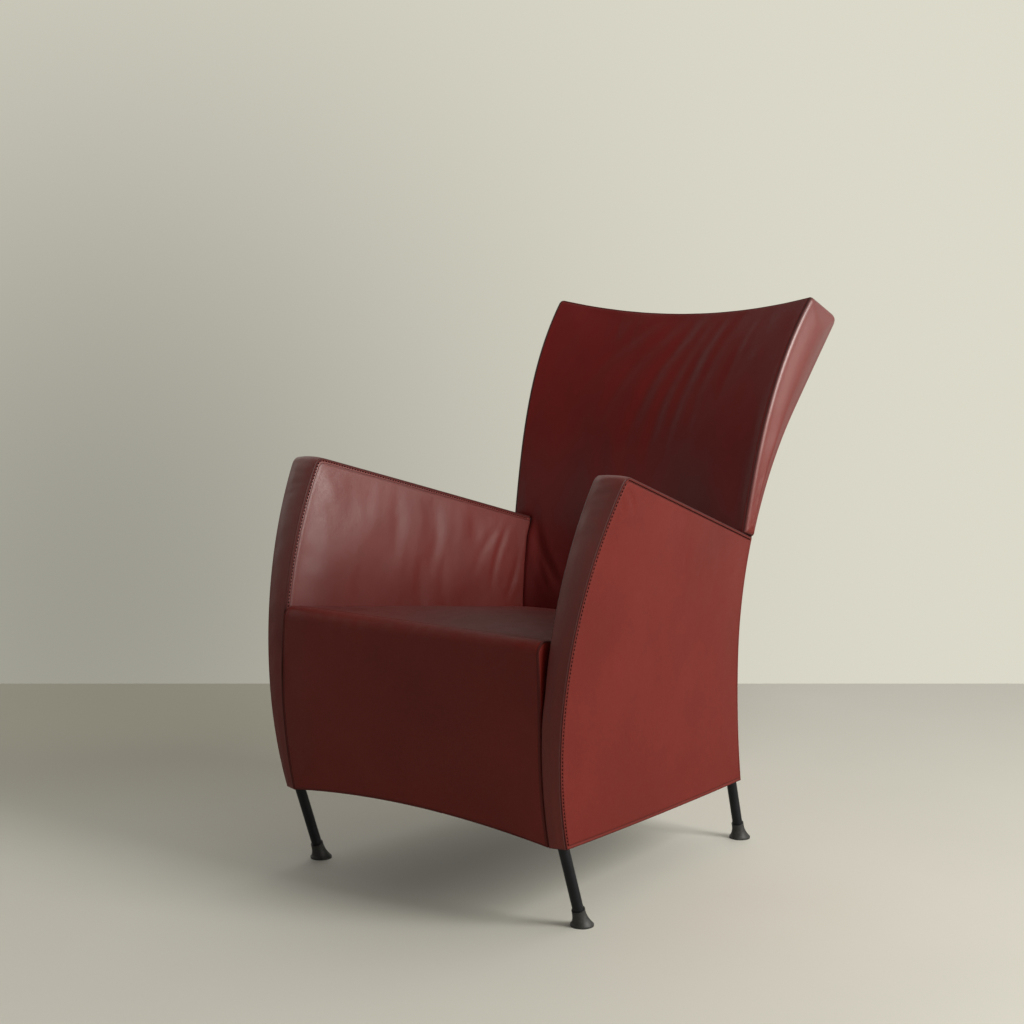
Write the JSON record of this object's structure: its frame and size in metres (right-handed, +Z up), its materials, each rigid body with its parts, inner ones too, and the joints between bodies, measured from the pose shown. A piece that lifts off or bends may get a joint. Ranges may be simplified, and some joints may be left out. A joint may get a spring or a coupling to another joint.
{
  "type": "armchair",
  "caption": "High-backed leather armchair with flared, dished back, splayed sloping arms, bellied front apron and raked tube legs on flared foot caps.",
  "frame": {"origin": "on the floor under the middle of the bounding box", "axes": "+Z up, the sitter faces -Y, +X is the sitter's left"},
  "size_m": [0.714, 0.9242, 0.9999],
  "materials": {
    "burgundy_leather": "semi-matt smooth grain",
    "black_steel": "satin",
    "dark_plastic": "matt",
    "bare_steel": "zinc plated",
    "beech": "raw",
    "webbing": "woven elastic",
    "lining": "non-woven cloth"
  },
  "bodies": {
    "root": {"arm_band_left": "burgundy_leather", "arm_band_right": "burgundy_leather", "arm_inner_pad_left": "burgundy_leather", "arm_inner_pad_right": "burgundy_leather", "arm_outer_pad_left": "burgundy_leather", "arm_outer_pad_right": "burgundy_leather", "arm_shell_left": "beech", "arm_shell_right": "beech", "back_cushion": "burgundy_leather", "back_outer_panel": "burgundy_leather", "back_post_left": "bare_steel", "back_post_right": "bare_steel", "back_side_band_left": "burgundy_leather", "back_side_band_right": "burgundy_leather", "back_top_band": "burgundy_leather", "back_top_rail": "bare_steel", "back_webbing": "webbing", "base_rail_left": "beech", "base_rail_right": "beech", "corner_block_front_left": "beech", "corner_block_front_right": "beech", "corner_block_rear_left": "beech", "corner_block_rear_right": "beech", "dust_cover": "lining", "foot_cap_front_left": "dark_plastic", "foot_cap_front_right": "dark_plastic", "foot_cap_rear_left": "dark_plastic", "foot_cap_rear_right": "dark_plastic", "front_apron": "burgundy_leather", "front_board": "beech", "leg_front_left": "black_steel", "leg_front_right": "black_steel", "leg_plate_front_left": "bare_steel", "leg_plate_front_right": "bare_steel", "leg_plate_rear_left": "bare_steel", "leg_plate_rear_right": "bare_steel", "leg_rear_left": "black_steel", "leg_rear_right": "black_steel", "rear_board": "beech", "seat_cushion": "burgundy_leather", "seat_rail_left": "beech", "seat_rail_right": "beech", "seat_webbing_cross": "webbing", "seat_webbing_long": "webbing"}
  },
  "joints": []
}
